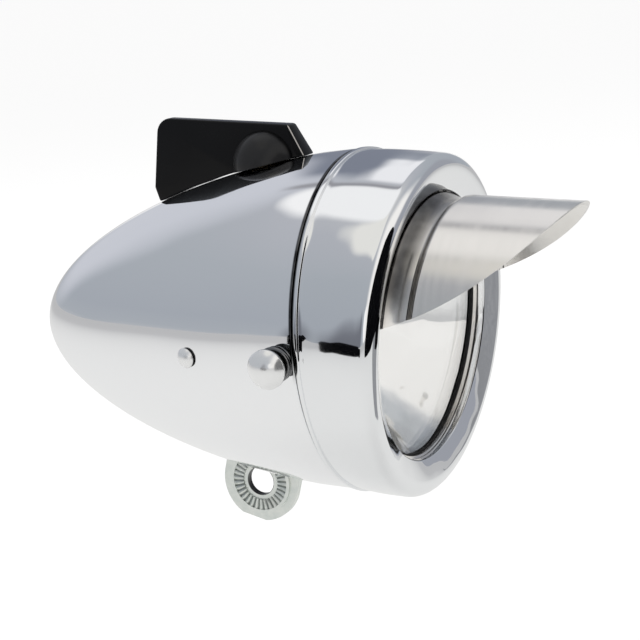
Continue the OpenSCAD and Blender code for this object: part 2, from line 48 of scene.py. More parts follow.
# The frame's origin is in the tab's hole, and the bench's is at the middle of the seam
HOLE_BACK = 33.0
HOLE_DOWN = 40.589
SEAM = Vector((HOLE_BACK, 0.0, HOLE_DOWN))
SEAM_HALF = 0.15
STACK_GAP = 0.1

SHELL_R = 39.4
SHELL_LEN = 87.0
SHEET = 0.8
FRONT_TILT = math.radians(5.5)
RIM_U = 15.0 / math.cos(FRONT_TILT)
RIM_ROUND = 3.0
RIM_R = SHELL_R - RIM_ROUND
FACE_SLOPE = math.radians(22)
OPENING_R = 30.9
face_run = (RIM_R - RIM_ROUND * math.sin(FACE_SLOPE) - OPENING_R) * math.tan(FACE_SLOPE)
FACE_U = RIM_U + RIM_ROUND * math.cos(FACE_SLOPE) - face_run
LIP_LEN = 1.7
LIP_U = FACE_U - LIP_LEN
SLEEVE_LEN = 9.0
SLEEVE_GAP = 0.35


def ogive(back, radius=SHELL_R, length=SHELL_LEN):
    part = min(1.0, max(0.0, back) / length)
    return radius * max(0.0, 1 - part ** 1.57) ** (1 / 1.85)


def bore(back):
    return ogive(back, SHELL_R - SHEET, SHELL_LEN - SHEET)


def slope(back):
    return math.atan(ogive(back - 0.5) - ogive(back + 0.5))


# Modelling helpers
def deselect():
    if bpy.context.object and bpy.context.object.mode != "OBJECT":
        bpy.ops.object.mode_set(mode="OBJECT")
    bpy.ops.object.select_all(action="DESELECT")


def only(piece):
    deselect()
    piece.select_set(True)
    bpy.context.view_layer.objects.active = piece
    return piece


def named(name):
    piece = bpy.context.object
    piece.name = name
    piece.data.name = name
    return piece


def place(piece, matrix):
    """Moves a finished piece from the millimetre bench to its place, with its object at the origin."""
    only(piece)
    piece.matrix_world = Matrix.Scale(MM, 4) @ Matrix.Translation(SEAM) @ matrix
    bpy.ops.object.transform_apply(location=True, rotation=True, scale=True)
    return piece


def soften(corners, steps=5, closed=False):
    """A profile through (a, b, radius) corners, each rounded to its radius."""
    path = []
    count = len(corners)
    for i, (a, b, radius) in enumerate(corners):
        here = Vector((a, b))
        if radius == 0 or (not closed and i in (0, count - 1)):
            path.append((a, b))
            continue
        before = Vector(corners[i - 1][:2]) - here
        after = Vector(corners[(i + 1) % count][:2]) - here
        half = before.angle(after) / 2
        cut = min(radius / math.tan(half), 0.48 * before.length, 0.48 * after.length)
        reach = cut * math.tan(half)
        before.normalize()
        after.normalize()
        middle = here + (before + after).normalized() * reach / math.sin(half)
        start = here + before * cut - middle
        end = here + after * cut - middle
        turn = math.atan2(start.x * end.y - start.y * end.x, start.dot(end))
        for k in range(steps + 1):
            angle = turn * k / steps
            path.append((
                middle.x + start.x * math.cos(angle) - start.y * math.sin(angle),
                middle.y + start.x * math.sin(angle) + start.y * math.cos(angle),
            ))
    return path


def arc(middle, radius, start, end, steps):
    path = []
    for k in range(steps + 1):
        angle = math.radians(start + (end - start) * k / steps)
        path.append((middle[0] + radius * math.cos(angle), middle[1] + radius * math.sin(angle)))
    return path


# The radius that a point on the axis has until its ring is merged
NEAR_AXIS = 0.01


def lathe(name, profile, sides=144, close=False):
    """Turns a (radius, height) profile about the bench's Z axis, ring by ring."""
    deselect()
    radius, height = profile[0]
    previous = max(radius, NEAR_AXIS)
    bpy.ops.mesh.primitive_circle_add(vertices=sides, radius=previous, location=(0, 0, height))
    piece = named(name)
    bpy.ops.object.transform_apply(location=True)
    bpy.ops.object.mode_set(mode="EDIT")
    bpy.ops.mesh.select_mode(type="EDGE")
    bpy.ops.mesh.select_all(action="SELECT")
    for radius, height_next in profile[1:]:
        radius = max(radius, NEAR_AXIS)
        bpy.ops.mesh.extrude_region_move(TRANSFORM_OT_translate={"value": (0, 0, height_next - height)})
        if abs(radius - previous) > 1e-7:
            grow = radius / previous
            bpy.ops.transform.resize(value=(grow, grow, 1), center_override=(0, 0, height_next))
        previous = radius
        height = height_next
    bpy.ops.mesh.select_mode(type="VERT")
    for end in (profile[0], profile[-1]):
        if end[0] <= NEAR_AXIS and not close:
            pick(piece, lambda v: abs(v.co.z - end[1]) < 1e-4 and v.co.xy.length < 2 * NEAR_AXIS)
            bpy.ops.mesh.merge(type="CENTER")
    return closed_up(piece)


def pick(piece, wanted):
    mesh = bmesh.from_edit_mesh(piece.data)
    for face in mesh.faces:
        face.select = False
    for edge in mesh.edges:
        edge.select = False
    for vert in mesh.verts:
        vert.select = wanted(vert)
    mesh.select_flush_mode()
    bmesh.update_edit_mesh(piece.data)


def closed_up(piece):
    bpy.ops.mesh.select_all(action="SELECT")
    bpy.ops.mesh.remove_doubles(threshold=0.002)
    bpy.ops.mesh.normals_make_consistent(inside=False)
    bpy.ops.object.mode_set(mode="OBJECT")
    return piece


def prism(name, outline, depth):
    """An outline in the bench's XZ plane, given its thickness along Y."""
    deselect()
    bpy.ops.mesh.primitive_circle_add(vertices=len(outline), radius=1, fill_type="NGON")
    piece = named(name)
    bpy.ops.object.mode_set(mode="EDIT")
    mesh = bmesh.from_edit_mesh(piece.data)
    mesh.verts.ensure_lookup_table()
    for vert, (a, b) in zip(mesh.verts, outline):
        vert.co = (a, -depth / 2, b)
    bmesh.update_edit_mesh(piece.data)
    bpy.ops.mesh.select_all(action="SELECT")
    bpy.ops.mesh.extrude_region_move(TRANSFORM_OT_translate={"value": (0, depth, 0)})
    return closed_up(piece)


def modify(piece, kind, **settings):
    only(piece)
    modifier = piece.modifiers.new(kind.title(), kind)
    for key, value in settings.items():
        setattr(modifier, key, value)
    bpy.ops.object.modifier_apply(modifier=modifier.name)
    return piece


def carve(piece, tool, operation="DIFFERENCE"):
    modify(piece, "BOOLEAN", object=tool, operation=operation, solver="EXACT")
    bpy.data.objects.remove(tool)
    return piece


def rod(name, radius, low, high, sides=96):
    deselect()
    bpy.ops.mesh.primitive_cylinder_add(
        vertices=sides, radius=radius, depth=high - low, location=(0, 0, (low + high) / 2))
    piece = named(name)
    bpy.ops.object.transform_apply(location=True)
    return piece


def smooth(piece, degrees=32):
    only(piece)
    bpy.ops.object.shade_smooth_by_angle(angle=math.radians(degrees), keep_sharp_edges=False)
    return piece


def bench_move(piece, matrix):
    only(piece)
    piece.matrix_world = matrix @ piece.matrix_world
    bpy.ops.object.transform_apply(location=True, rotation=True, scale=True)
    return piece


def turn_y(degrees):
    return Matrix.Rotation(math.radians(degrees), 4, "Y")


def shift(x, y, z):
    return Matrix.Translation((x, y, z))


# Frames of the pieces, on the bench, measured from the middle of the seam
ALONG_X = turn_y(90)
FRONT_AXIS = Matrix.Rotation(FRONT_TILT, 4, "Y") @ ALONG_X
LATCH_BACK = 4.7
RIVET_BACK = 28.8
SWITCH_BACK = 22.8
# Degrees that the button's axis points down and that the tab leans
LATCH_DROP = 2
TAB_TILT = 16.5
LATCH_AXIS = Matrix.Rotation(math.radians(90 + LATCH_DROP), 4, "X")
LATCH = shift(-LATCH_BACK, 0, 0) @ LATCH_AXIS
RIVET = shift(-RIVET_BACK, 0, 0) @ LATCH_AXIS @ shift(0, 0, ogive(RIVET_BACK)) @ Matrix.Rotation(
    -slope(RIVET_BACK), 4, "Y")
SWITCH = shift(-SWITCH_BACK, 0, ogive(SWITCH_BACK)) @ Matrix.Rotation(-slope(SWITCH_BACK), 4, "Y")
TAB = shift(-HOLE_BACK, 0, -HOLE_DOWN) @ turn_y(TAB_TILT)


# Materials
def finish(name, base, rough, metal=0.0, **sockets):
    material = bpy.data.materials.new(name)
    material.use_nodes = True
    shader = material.node_tree.nodes["Principled BSDF"]
    shader.inputs["Base Color"].default_value = (*base, 1)
    shader.inputs["Roughness"].default_value = rough
    shader.inputs["Metallic"].default_value = metal
    for key, value in sockets.items():
        shader.inputs[key.replace("_", " ")].default_value = value
    return material


def grain(material, scale, stretch=(1, 1, 1), detail=4.0, turn=(0, 0, 0)):
    tree = material.node_tree
    where = tree.nodes.new("ShaderNodeTexCoord")
    mapping = tree.nodes.new("ShaderNodeMapping")
    mapping.inputs["Scale"].default_value = [scale * s for s in stretch]
    mapping.inputs["Rotation"].default_value = [math.radians(t) for t in turn]
    noise = tree.nodes.new("ShaderNodeTexNoise")
    noise.inputs["Scale"].default_value = 1.0
    noise.inputs["Detail"].default_value = detail
    tree.links.new(where.outputs["Object"], mapping.inputs["Vector"])
    tree.links.new(mapping.outputs["Vector"], noise.inputs["Vector"])
    return noise


def spread_to(material, noise, socket, low, high, start=0.3, end=0.7):
    tree = material.node_tree
    shader = tree.nodes["Principled BSDF"]
    if isinstance(low, tuple):
        ramp = tree.nodes.new("ShaderNodeValToRGB")
        ramp.color_ramp.elements[0].position = start
        ramp.color_ramp.elements[1].position = end
        ramp.color_ramp.elements[0].color = (*low, 1)
        ramp.color_ramp.elements[1].color = (*high, 1)
        tree.links.new(noise.outputs["Fac"], ramp.inputs["Fac"])
        tree.links.new(ramp.outputs["Color"], shader.inputs[socket])
        return ramp
    span = tree.nodes.new("ShaderNodeMapRange")
    span.inputs["From Min"].default_value = start
    span.inputs["From Max"].default_value = end
    span.inputs["To Min"].default_value = low
    span.inputs["To Max"].default_value = high
    tree.links.new(noise.outputs["Fac"], span.inputs["Value"])
    tree.links.new(span.outputs["Result"], shader.inputs[socket])
    return span


def bump(material, layers):
    """Adds one Bump node for each (noise, strength, distance), one over the other."""
    tree = material.node_tree
    shader = tree.nodes["Principled BSDF"]
    below = None
    for noise, strength, distance in layers:
        node = tree.nodes.new("ShaderNodeBump")
        node.inputs["Strength"].default_value = strength
        node.inputs["Distance"].default_value = distance
        tree.links.new(noise.outputs["Fac"], node.inputs["Height"])
        if below:
            tree.links.new(below.outputs["Normal"], node.inputs["Normal"])
        below = node
    tree.links.new(below.outputs["Normal"], shader.inputs["Normal"])


def plated(name, base, rough, waviness, waves_scale=42):
    """Chrome plate over pressed sheet: slow waves in the sheet, faint haze and polishing marks."""
    material = finish(name, base, rough, 1.0)
    waves = grain(material, waves_scale, detail=1.0)
    haze = grain(material, 160, detail=5.0)
    marks = grain(material, 900, stretch=(1, 0.06, 0.06), detail=2.0)
    spread_to(material, haze, "Roughness", rough * 0.6, rough * 1.9)
    bump(material, [(waves, 0.5, waviness), (haze, 0.08, 0.00002), (marks, 0.03, 0.00002)])
    return material


def satin(name, base, rough, low, high, stretch, scale=260.0):
    material = finish(name, base, rough, 1.0)
    streaks = grain(material, scale, stretch=stretch, detail=6.0)
    spread_to(material, streaks, "Base Color", low, high)
    spread_to(material, streaks, "Roughness", rough * 0.8, rough * 1.25)
    bump(material, [(streaks, 0.025, 0.00003)])
    return material


def moulded(name, low, high, rough, scale=300.0, depth=0.00002):
    material = finish(name, low, rough)
    cloud = grain(material, 40, detail=3.0)
    pores = grain(material, scale * 6, detail=3.0)
    spread_to(material, cloud, "Base Color", low, high)
    spread_to(material, cloud, "Roughness", rough * 0.85, rough * 1.2)
    bump(material, [(pores, 0.15, depth)])
    return material


def soft_step(tree, value, start, end):
    """A factor that goes softly from 0 at the start to 1 at the end."""
    step = tree.nodes.new("ShaderNodeMapRange")
    step.interpolation_type = "SMOOTHSTEP"
    step.inputs["From Min"].default_value = start
    step.inputs["From Max"].default_value = end
    tree.links.new(value, step.inputs["Value"])
    return step.outputs["Result"]


def joined(tree, operation, first, second):
    result = tree.nodes.new("ShaderNodeMath")
    result.operation = operation
    tree.links.new(first, result.inputs[0])
    tree.links.new(second, result.inputs[1])
    return result.outputs[0]


def tinted(tree, amount, below, colour):
    """The colour below, a node's output or a plain one, turned to another by the amount."""
    mix = tree.nodes.new("ShaderNodeMix")
    mix.data_type = "RGBA"
    tree.links.new(amount, mix.inputs["Factor"])
    if isinstance(below, bpy.types.NodeSocket):
        tree.links.new(below, mix.inputs[6])
    else:
        mix.inputs[6].default_value = below
    mix.inputs[7].default_value = (*colour, 1)
    return mix.outputs[2]


def tint_where(material, colour, *spans):
    """Turns a finish to another colour, a little patchily, where every span is past its end.

    A span is (measure, start, end) in metres. Its measure is a direction, or ("off", factors) for the
    distance left once the factors are applied.
    """
    tree = material.node_tree
    where = tree.nodes.new("ShaderNodeTexCoord")
    patchy = grain(material, 240, detail=3.0)
    uneven = tree.nodes.new("ShaderNodeMapRange")
    uneven.inputs["From Min"].default_value = 0.3
    uneven.inputs["From Max"].default_value = 0.6
    uneven.inputs["To Min"].default_value = 0.88
    tree.links.new(patchy.outputs["Fac"], uneven.inputs["Value"])
    amount = uneven.outputs["Result"]
    for measure, start, end in spans:
        along = tree.nodes.new("ShaderNodeVectorMath")
        if measure[0] == "off":
            flat = tree.nodes.new("ShaderNodeVectorMath")
            flat.operation = "MULTIPLY"
            flat.inputs[1].default_value = measure[1]
            tree.links.new(where.outputs["Object"], flat.inputs[0])
            along.operation = "LENGTH"
            tree.links.new(flat.outputs[0], along.inputs[0])
        else:
            along.operation = "DOT_PRODUCT"
            along.inputs[1].default_value = measure
            tree.links.new(where.outputs["Object"], along.inputs[0])
        reached = soft_step(tree, along.outputs["Value"], start, end)
        amount = joined(tree, "MULTIPLY", amount, reached)
    socket = tree.nodes["Principled BSDF"].inputs["Base Color"]
    below = socket.links[0].from_socket if socket.links else socket.default_value
    tree.links.new(tinted(tree, amount, below, colour), socket)


shell_chrome = plated("shell_chrome", (0.93, 0.935, 0.95), 0.035, 0.0004)
ring_chrome = plated("ring_chrome", (0.89, 0.90, 0.915), 0.03, 0.0008, 75)
# Dirt and painted shade in the seam's groove, above the button
SEAM_DIRT_AND_SHADE = (0.02, 0.02, 0.023)
FORWARD = (1, 0, 0)
ABOVE_BUTTON = ((0, 0, 1), 0.034, 0.042)
tint_where(shell_chrome, SEAM_DIRT_AND_SHADE, (FORWARD, 0.0320, 0.0324), ABOVE_BUTTON)
tint_where(ring_chrome, SEAM_DIRT_AND_SHADE, (FORWARD, 0.03375, 0.03335), (FORWARD, 0.0325, 0.0329), ABOVE_BUTTON)
button_chrome = plated("button_chrome", (0.90, 0.90, 0.90), 0.17, 0.00005)
rivet_chrome = plated("rivet_chrome", (0.90, 0.90, 0.90), 0.2, 0.00005)
# The collar's plate is painted dark, as painted shade under the button's head
collar_shaded_chrome = plated("collar_shaded_chrome", (0.20, 0.20, 0.205), 0.2, 0.00005)
for worn_plate in (button_chrome, rivet_chrome):
    worn_plate.node_tree.nodes["Principled BSDF"].inputs["Metallic"].default_value = 0.75
dish_chrome = plated("dish_chrome", (0.95, 0.95, 0.955), 0.03, 0.0007, 130)
visor_steel = satin(
    "visor_steel", (0.82, 0.79, 0.76), 0.19, (0.80, 0.78, 0.75), (0.85, 0.825, 0.795), (1.0, 0.08, 0.08), 500)
tab_zinc = satin(
    "tab_zinc", (0.76, 0.79, 0.75), 0.4, (0.70, 0.74, 0.71), (0.88, 0.90, 0.86), (1, 1, 1), 420)
# Dirt and painted shade between the teeth, and painted shade on the hole's wall
FROM_HOLE_AXIS = ("off", (1, 0, 1))
FROM_MIDDLE_PLANE = ("off", (0, 1, 0))
tint_where(
    tab_zinc, (0.30, 0.32, 0.31), (FROM_HOLE_AXIS, 0.0074, 0.0072), (FROM_HOLE_AXIS, 0.0045, 0.0047),
    (FROM_MIDDLE_PLANE, 0.0013, 0.00095))
tint_where(tab_zinc, (0.02, 0.02, 0.02), (FROM_HOLE_AXIS, 0.0037, 0.0035))
spring_steel = satin(
    "spring_steel", (0.45, 0.45, 0.46), 0.3, (0.38, 0.38, 0.39), (0.52, 0.52, 0.53), (0.2, 1, 1), 400)
aged_brass = satin(
    "aged_brass", (0.09, 0.07, 0.045), 0.5, (0.07, 0.055, 0.035), (0.12, 0.095, 0.06), (1, 1, 0.2), 300)
brass = satin("brass", (0.72, 0.53, 0.25), 0.3, (0.62, 0.44, 0.20), (0.80, 0.61, 0.32), (1, 1, 0.2), 300)
bulb_nickel = satin(
    "bulb_nickel", (0.66, 0.64, 0.60), 0.25, (0.58, 0.56, 0.52), (0.72, 0.70, 0.66), (0.2, 1, 1), 400)
knob_plastic = moulded("knob_plastic", (0.003, 0.003, 0.0034), (0.0055, 0.0055, 0.006), 0.22, 260, 0.00002)
knob_plastic.node_tree.nodes["Principled BSDF"].inputs["Specular IOR Level"].default_value = 0.16
# The hub, which stands out past the wing's sides, is painted a little paler, as painted sheen
tint_where(knob_plastic, (0.022, 0.022, 0.023), (FROM_MIDDLE_PLANE, 0.0029, 0.0040))
carrier_plastic = moulded("carrier_plastic", (0.05, 0.055, 0.06), (0.075, 0.08, 0.09), 0.5)
cartridge_plastic = moulded("cartridge_plastic", (0.025, 0.025, 0.027), (0.04, 0.04, 0.043), 0.45)
fibre_board = moulded("fibre_board", (0.28, 0.15, 0.07), (0.40, 0.23, 0.12), 0.7, 500, 0.00005)
cell_wrap = moulded("cell_wrap", (0.12, 0.22, 0.34), (0.16, 0.28, 0.42), 0.3)
gasket_rubber = moulded("gasket_rubber", (0.012, 0.012, 0.012), (0.02, 0.02, 0.02), 0.6)


def clear(name, tint, rough):
    material = finish(name, tint, rough, 0.0, Transmission_Weight=1.0, IOR=1.46)
    dust = grain(material, 120, detail=5.0)
    spread_to(material, dust, "Roughness", 0.0, rough * 2)
    return material


lens_glass = clear("lens_glass", (0.99, 0.995, 0.995), 0.01)
bulb_glass = clear("bulb_glass", (0.98, 0.98, 0.97), 0.01)

node_finish = {
    "mount_tab": tab_zinc, "latch_collar": collar_shaded_chrome, "latch_rivet": rivet_chrome,
    "latch_spring": spring_steel, "latch_catch": spring_steel, "wave_washer": spring_steel,
    "spindle_clip": spring_steel, "retaining_ring": spring_steel, "rear_spring": spring_steel,
    "switch_nut": spring_steel, "switch_spindle": aged_brass, "switch_wiper": brass,
    "switch_bush": aged_brass,
    "switch_contacts": brass, "cell_contacts": brass, "front_terminal": brass, "bulb_socket": brass,
    "bulb_cap": bulb_nickel, "switch_plate": fibre_board, "socket_insulator": fibre_board,
    "battery_carrier": carrier_plastic, "cartridge_frame": cartridge_plastic,
    "battery_cells": cell_wrap, "lens_gasket": gasket_rubber, "lens": lens_glass,
    "bulb_glass": bulb_glass, "rear_shell": shell_chrome, "bezel_ring": ring_chrome,
    "visor": visor_steel, "reflector": dish_chrome, "switch_knob": knob_plastic,
    "latch_button": button_chrome,
}
for name, material in node_finish.items():
    nodes[name].data.materials.clear()
    nodes[name].data.materials.append(material)


def dressed(piece, body, node, material):
    piece.data.materials.clear()
    piece.data.materials.append(material)
    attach(piece, body)
    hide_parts(node)
    return piece


# Rear shell, drawn as one walled form from its nose to its mouth and back inside
SHELL_RINGS = 60
MOUTH_RINGS = 4
TAB_SLOT = (20.6, 3.4, 16)
COLLAR_HOLE_R = 3.05
BUSH_HOLE_R = 3.55
RIVET_HOLE_R = 1.35
outer = []
inner = []
for k in range(SHELL_RINGS + 1):
    part = math.sin(math.pi / 2 * k / SHELL_RINGS)
    depth = SEAM_HALF + (SHELL_LEN - SEAM_HALF) * part
    outer.append((ogive(depth), -depth))
    depth = SEAM_HALF + (SHELL_LEN - SHEET - SEAM_HALF) * part
    inner.append((bore(depth), -depth))
outer[-1] = (0.0, -SHELL_LEN)
inner[-1] = (0.0, -SHELL_LEN + SHEET)
mouth = soften(
    [(*outer[MOUTH_RINGS], 0), (*outer[0], 0.75), (*inner[0], 0.04), (*inner[MOUTH_RINGS], 0)], 6)
shell_profile = outer[:MOUTH_RINGS - 1:-1] + mouth[1:-1] + inner[MOUTH_RINGS:]
shell_skin = lathe("shell_skin", shell_profile, 160)
bench_move(shell_skin, ALONG_X)
deselect()
bpy.ops.mesh.primitive_cube_add(size=1, location=(0, 0, TAB_SLOT[2] / 2))
slot_tool = named("slot_tool")
slot_tool.scale = TAB_SLOT
bpy.ops.object.transform_apply(location=True, rotation=True, scale=True)
bench_move(slot_tool, TAB)
carve(shell_skin, slot_tool)
for tool_name, matrix, radius, low, high in (
        ("collar_tool", LATCH, COLLAR_HOLE_R, 30, 45), ("bush_tool", SWITCH, BUSH_HOLE_R, -3, 3),
        ("rivet_tool", RIVET, RIVET_HOLE_R, -3, 3)):
    tool = rod(tool_name, radius, low, high, 48)
    bench_move(tool, matrix)
    carve(shell_skin, tool)
smooth(shell_skin)
place(shell_skin, Matrix.Identity(4))
dressed(shell_skin, "body", "rear_shell", shell_chrome)


# Front ring: a sheet profile swept round, upright at the seam and tilted at the rim
def bent_ring(name, profile, sides=168):
    """Rings at (distance forward, radius); each leans further forward up to the lip."""
    deselect()

    def lean(forward):
        return FRONT_TILT * min(1.0, max(0.0, forward / LIP_U))

    def middle(forward):
        if forward <= 0:
            return Vector((forward, 0, 0))
        return Vector((forward * math.cos(FRONT_TILT), 0, -forward * math.sin(FRONT_TILT)))

    forward, radius = profile[0]
    bpy.ops.mesh.primitive_circle_add(
        vertices=sides, radius=radius, location=middle(forward), rotation=(0, math.pi / 2 + lean(forward), 0))
    piece = named(name)
    bpy.ops.object.transform_apply(location=True, rotation=True)
    bpy.ops.object.mode_set(mode="EDIT")
    bpy.ops.mesh.select_mode(type="EDGE")
    bpy.ops.mesh.select_all(action="SELECT")
    for next_forward, next_radius in profile[1:]:
        step = middle(next_forward) - middle(forward)
        bpy.ops.mesh.extrude_region_move(TRANSFORM_OT_translate={"value": step})
        grow = next_radius / radius
        here = middle(next_forward)
        bpy.ops.transform.resize(value=(grow, grow, grow), center_override=here)
        bend = lean(next_forward) - lean(forward)
        if abs(bend) > 1e-9:
            bpy.ops.transform.rotate(value=-bend, orient_axis="Y", center_override=here)
        forward = next_forward
        radius = next_radius
    bpy.ops.mesh.select_mode(type="VERT")
    return closed_up(piece)


RING_STEP = 0.1
BARREL_R = SHELL_R - RING_STEP
BULGE = 0.15
BEAD = 1.3
BEAD_H = 0.45
SLEEVE_R = bore(0) - SLEEVE_GAP
NOTCH_R = 3.55


def barrel(inset, steps=14):
    path = []
    for k in range(1, steps):
        t = k / steps
        radius = BARREL_R + (SHELL_R - BARREL_R) * t + BULGE * math.sin(math.pi * t) - inset
        path.append((BEAD + (RIM_U - BEAD) * t, radius))
    return path


def sleeve(inset, steps=4):
    path = []
    for k in range(steps + 1):
        depth = SLEEVE_LEN * k / steps
        path.append((-depth, bore(depth) - SLEEVE_GAP - inset))
    return path


def softened_edge(points, radii):
    return soften([(a, b, radii.get(i, 0)) for i, (a, b) in enumerate(points)], 4, closed=True)


rim_outside = arc((RIM_U, RIM_R), RIM_ROUND, 90, -math.degrees(FACE_SLOPE), 16)
rim_inside = arc((RIM_U, RIM_R), RIM_ROUND - SHEET, -math.degrees(FACE_SLOPE), 90, 10)
ring_points = (
    [(SEAM_HALF, SLEEVE_R), (SEAM_HALF, BARREL_R + BEAD_H), (BEAD, BARREL_R + BEAD_H), (BEAD, BARREL_R)]
    + barrel(0) + rim_outside
    + [(FACE_U, OPENING_R), (LIP_U, OPENING_R)]
    + [(LIP_U, OPENING_R + SHEET), (FACE_U - SHEET, OPENING_R + SHEET)]
    + rim_inside + barrel(SHEET)[::-1]
    + [(BEAD, BARREL_R - SHEET), (BEAD, SLEEVE_R - SHEET)]
    + sleeve(SHEET) + sleeve(0)[::-1][:-1]
)
opening_at = 4 + len(barrel(0)) + len(rim_outside)
ring_profile = softened_edge(ring_points, {
    1: 0.42, 2: 0.5, 3: 0.12, opening_at: 0.45, opening_at + 1: 0.15, opening_at + 2: 0.15})
ring_profile.append(ring_profile[0])
ring_skin = bent_ring("ring_skin", ring_profile)
notch = rod("notch_tool", NOTCH_R, 29.5, 39.0, 48)
bench_move(notch, LATCH)
carve(ring_skin, notch)
smooth(ring_skin)
place(ring_skin, Matrix.Identity(4))
dressed(ring_skin, "front", "bezel_ring", ring_chrome)

# Visor: a cut hood whose neck passes through the opening to a seat behind the lip
VISOR_R = 30.4
VISOR_T = 0.8
NECK_R = OPENING_R - 0.3
HOLLOW_R = VISOR_R - 1.0
SEAT_FRONT = LIP_U - STACK_GAP
SEAT_BACK = SEAT_FRONT - VISOR_T
SEAT_OUT_R = 33.6
SEAT_IN_R = 30.2
ROOT_U = RIM_U + RIM_ROUND + 4.3
HOLLOW_U = ROOT_U - 0.8
ROOT_ROUND = 1.3
TIP_U = RIM_U + RIM_ROUND + 32
TIP_R = VISOR_R + 0.7
TIP_ROUND = 0.2
CUT_R = 74.0
CUT_LOW = 1.6
neck = [(NECK_R, SEAT_FRONT - 0.4, 0)]
for s in (0, 0.08, 0.17, 0.26, 0.36, 0.47, 0.6):
    neck.append((HOLLOW_R + (NECK_R - HOLLOW_R) * (1 - s) ** 2, FACE_U + (HOLLOW_U - FACE_U) * s, 0))
hood_outer = soften(
    neck + [(HOLLOW_R, HOLLOW_U, ROOT_ROUND), (VISOR_R, ROOT_U, ROOT_ROUND), (TIP_R, TIP_U, 0)], 5)
hood_inner = [(r - VISOR_T, u) for r, u in hood_outer[::-1]]
hood_tip = soften(
    [(*hood_outer[-2], 0), (*hood_outer[-1], TIP_ROUND), (*hood_inner[0], TIP_ROUND), (*hood_inner[1], 0)], 3)
hood_profile = hood_outer[:-1] + hood_tip[1:-1] + hood_inner[1:]
hood_profile.append(hood_profile[0])
visor_hood = lathe("visor_hood", hood_profile, 192, close=True)
bench_move(visor_hood, ALONG_X)
cut_w = CUT_LOW + CUT_R
cut_u = TIP_U - math.sqrt(CUT_R ** 2 - (cut_w - TIP_R) ** 2)
cutter = rod("cut_tool", CUT_R, -60, 60, 256)
bench_move(cutter, shift(cut_u, 0, cut_w) @ Matrix.Rotation(math.pi / 2, 4, "X"))
carve(visor_hood, cutter, "INTERSECT")
only(visor_hood)
bpy.ops.object.mode_set(mode="EDIT")
bpy.ops.mesh.select_all(action="SELECT")
bpy.ops.mesh.remove_doubles(threshold=0.07)
bpy.ops.object.mode_set(mode="OBJECT")
modify(visor_hood, "BEVEL", width=0.12, segments=2, limit_method="ANGLE", angle_limit=math.radians(50))
seat = lathe(
    "seat", [(SEAT_OUT_R, SEAT_BACK), (SEAT_OUT_R, SEAT_FRONT), (SEAT_IN_R, SEAT_FRONT),
             (SEAT_IN_R, SEAT_BACK), (SEAT_OUT_R, SEAT_BACK)], 144, close=True)
bench_move(seat, ALONG_X)
carve(visor_hood, seat, "UNION")
bench_move(visor_hood, Matrix.Rotation(FRONT_TILT, 4, "Y"))
smooth(visor_hood, 40)
modify(visor_hood, "WEIGHTED_NORMAL", keep_sharp=True, weight=100)
# Painted shade: the upper part of the hood's foot darkens towards the opening
foot_back = Vector((-math.cos(FRONT_TILT), 0, math.sin(FRONT_TILT)))
foot_at = foot_back.dot(SEAM) - ROOT_U
tint_where(
    visor_steel, (0.13, 0.125, 0.12), (tuple(foot_back), (foot_at - 0.6) * MM, (foot_at + 4.6) * MM),
    ((0, 0, 1), 0.045, 0.053))
place(visor_hood, Matrix.Identity(4))
dressed(visor_hood, "front", "visor", visor_steel)

# Reflector: a deep dish with a neck for the bulb and a flat flange
FOCUS = 10.9
GASKET_T = 0.8
LENS_T = 2.0
DISH_DEPTH = 22.0
DISH_T = 0.8
NECK_LEN = 6
FLANGE_ROOM = 1.9
BOWL_STEPS = 40
flange_front = SEAT_BACK - STACK_GAP - GASKET_T - STACK_GAP - LENS_T - STACK_GAP
flange_back = flange_front - DISH_T
dish_u = flange_front - DISH_DEPTH
dish_r = 2 * math.sqrt(FOCUS * DISH_DEPTH)
neck_r = 5.65
neck_front = dish_u + neck_r ** 2 / (4 * FOCUS)
neck_back = neck_front - NECK_LEN
flange_r = BARREL_R - SHEET - FLANGE_ROOM
bowl = []
for k in range(BOWL_STEPS + 1):
    radius = neck_r + (dish_r - neck_r) * k / BOWL_STEPS
    bowl.append((radius, dish_u + radius ** 2 / (4 * FOCUS)))
back_of_bowl = []
for radius, forward in bowl[-2:0:-2]:
    lean_back = math.atan(radius / (2 * FOCUS))
    back_of_bowl.append((radius + DISH_T * math.sin(lean_back), forward - DISH_T * math.cos(lean_back)))
dish_profile = (
    [(neck_r, neck_back)] + bowl
    + [(flange_r, flange_front), (flange_r, flange_back), (dish_r + DISH_T, flange_back)]
    + back_of_bowl + [(neck_r + DISH_T, neck_front - DISH_T), (neck_r + DISH_T, neck_back)]
)
dish_profile.append(dish_profile[0])
dish = lathe("dish", dish_profile, 144, close=True)
smooth(dish)
place(dish, FRONT_AXIS)
dressed(dish, "front", "reflector", dish_chrome)

# Switch knob: a tapered wing with a domed hub
SWITCH_SLOPE = slope(SWITCH_BACK)


def skin_point(back):
    dx = SWITCH_BACK - back
    dz = ogive(back) - ogive(SWITCH_BACK)
    return (
        dx * math.cos(SWITCH_SLOPE) + dz * math.sin(SWITCH_SLOPE),
        -dx * math.sin(SWITCH_SLOPE) + dz * math.cos(SWITCH_SLOPE),
    )


WING_BACK = 29.0
WING_FRONT = 10.8
WING_H = 17.0
BROW_H = 7.6
HEEL_H = 3.6
FOOT_HALF = 2.6
TOP_THINNER = 1.2
FOOT_STEPS = 16
HUB_R = 8.3
POCKET_R = 5.2
SPINDLE_HOLE_R = 2.55
